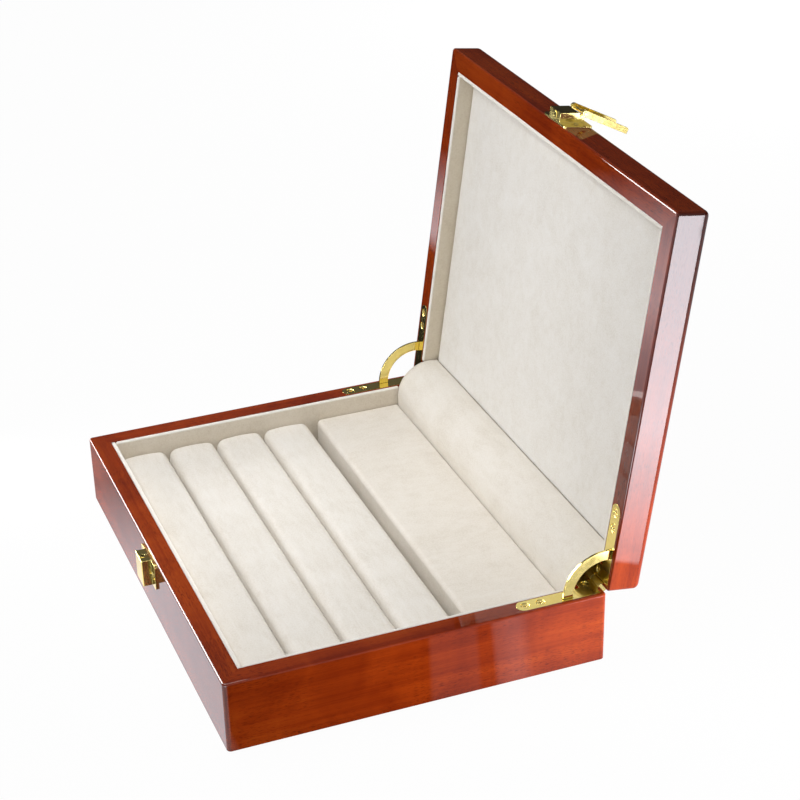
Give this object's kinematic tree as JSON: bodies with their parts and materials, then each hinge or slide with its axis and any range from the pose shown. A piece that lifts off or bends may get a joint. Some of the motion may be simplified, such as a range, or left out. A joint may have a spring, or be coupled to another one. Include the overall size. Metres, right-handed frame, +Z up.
{
  "type": "cufflink display box",
  "caption": "Rectangular lacquered wooden box with a lid open on quadrant hinges, cream suede lining with cushioned cufflink rolls and a flat platform, and a brass lever latch.",
  "frame": {"origin": "middle of the underside that the box stands on", "axes": "+X to the right seen from the front, +Y from the front to the hinge side, +Z up"},
  "size_m": [0.26, 0.2706, 0.2414],
  "materials": {
    "lacquered_wood": "high gloss cherry-red lacquer over straight ribbon grain",
    "cream_suede": "short napped cream suede cloth",
    "polished_brass": "polished",
    "dark_felt": "thin felt"
  },
  "bodies": {
    "base": {"base_front_wall": "lacquered_wood", "base_right_wall": "lacquered_wood", "base_back_wall": "lacquered_wood", "base_left_wall": "lacquered_wood", "base_bottom_panel": "lacquered_wood", "base_felt": "dark_felt", "base_liner_front": "cream_suede", "base_liner_right": "cream_suede", "base_liner_left": "cream_suede", "base_liner_back": "cream_suede", "base_floor_lining": "cream_suede", "cufflink_roll_1": "cream_suede", "cufflink_roll_2": "cream_suede", "cufflink_roll_3": "cream_suede", "cufflink_roll_4": "cream_suede", "display_platform": "cream_suede", "hinge_cover": "cream_suede", "right_hinge_base_leaf": "polished_brass", "right_hinge_pin": "polished_brass", "left_hinge_base_leaf": "polished_brass", "left_hinge_pin": "polished_brass", "base_hinge_screws": "polished_brass", "catch_plate": "polished_brass", "catch_bush": "polished_brass", "catch_screws": "polished_brass"},
    "lid": {"lid_front_wall": "lacquered_wood", "lid_right_wall": "lacquered_wood", "lid_back_wall": "lacquered_wood", "lid_left_wall": "lacquered_wood", "lid_top_panel": "lacquered_wood", "lid_liner_front": "cream_suede", "lid_liner_right": "cream_suede", "lid_liner_left": "cream_suede", "lid_liner_back": "cream_suede", "lid_pad": "cream_suede", "right_hinge_lid_leaf": "polished_brass", "left_hinge_lid_leaf": "polished_brass", "lid_hinge_screws": "polished_brass", "hasp_plate": "polished_brass", "hasp_bush": "polished_brass", "hasp_screws": "polished_brass", "hasp_pin": "polished_brass"},
    "stop_arms": {"right_stop_arm": "polished_brass", "left_stop_arm": "polished_brass"},
    "lever": {"hasp_lever": "polished_brass"}
  },
  "joints": [
    {"name": "lid_hinge", "type": "hinge", "parent": "base", "child": "lid", "pos_m": [0, 0.0993, 0.03915], "axis": [1, 0, 0], "range_deg": [0, 98], "deforming": ["hinge_cover"]},
    {"name": "arm_swing", "type": "hinge", "parent": "base", "child": "stop_arms", "pos_m": [0, 0.0993, 0.03915], "axis": [1, 0, 0], "range_deg": [0, 66.7]},
    {"name": "lever_pivot", "type": "hinge", "parent": "lid", "child": "lever", "pos_m": [0, 0.14142, 0.23934], "axis": [1, 0, 0], "range_deg": [0, 200]}
  ],
  "couplings": [
    {"joint": "arm_swing", "follows": "lid_hinge", "ratio": 0.68}
  ]
}
